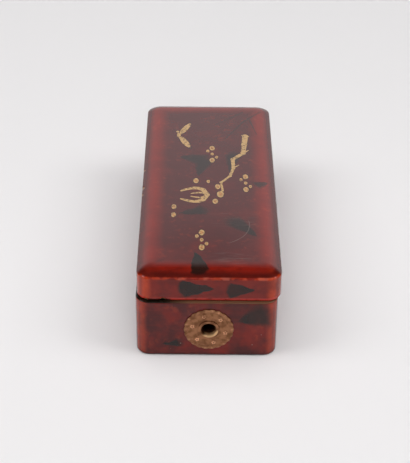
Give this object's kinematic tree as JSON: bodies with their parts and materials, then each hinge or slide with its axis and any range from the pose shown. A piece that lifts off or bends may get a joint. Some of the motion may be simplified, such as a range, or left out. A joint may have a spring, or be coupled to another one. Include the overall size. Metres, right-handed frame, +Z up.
{
  "type": "lacquer box with lift-off lid",
  "caption": "Long rounded lacquered wooden box with a lift-off pillowed lid and a round scalloped brass plate with a flanged eyelet on its front end.",
  "frame": {"origin": "centre of the tray's flat underside", "axes": "+Y from the front end with the rosette to the plain far end, +Z up, +X to the right seen from the front"},
  "size_m": [0.0766, 0.1851, 0.0527],
  "materials": {
    "red_lacquer": "glossy worn red lacquer over wood, with dark green leaf shapes and small gold figures",
    "aged_brass": "aged, dull in the hollows and polished on the raised edges"
  },
  "bodies": {
    "root": {"tray": "red_lacquer", "lid": "red_lacquer", "rosette_plate": "aged_brass", "eyelet": "aged_brass"}
  },
  "joints": []
}
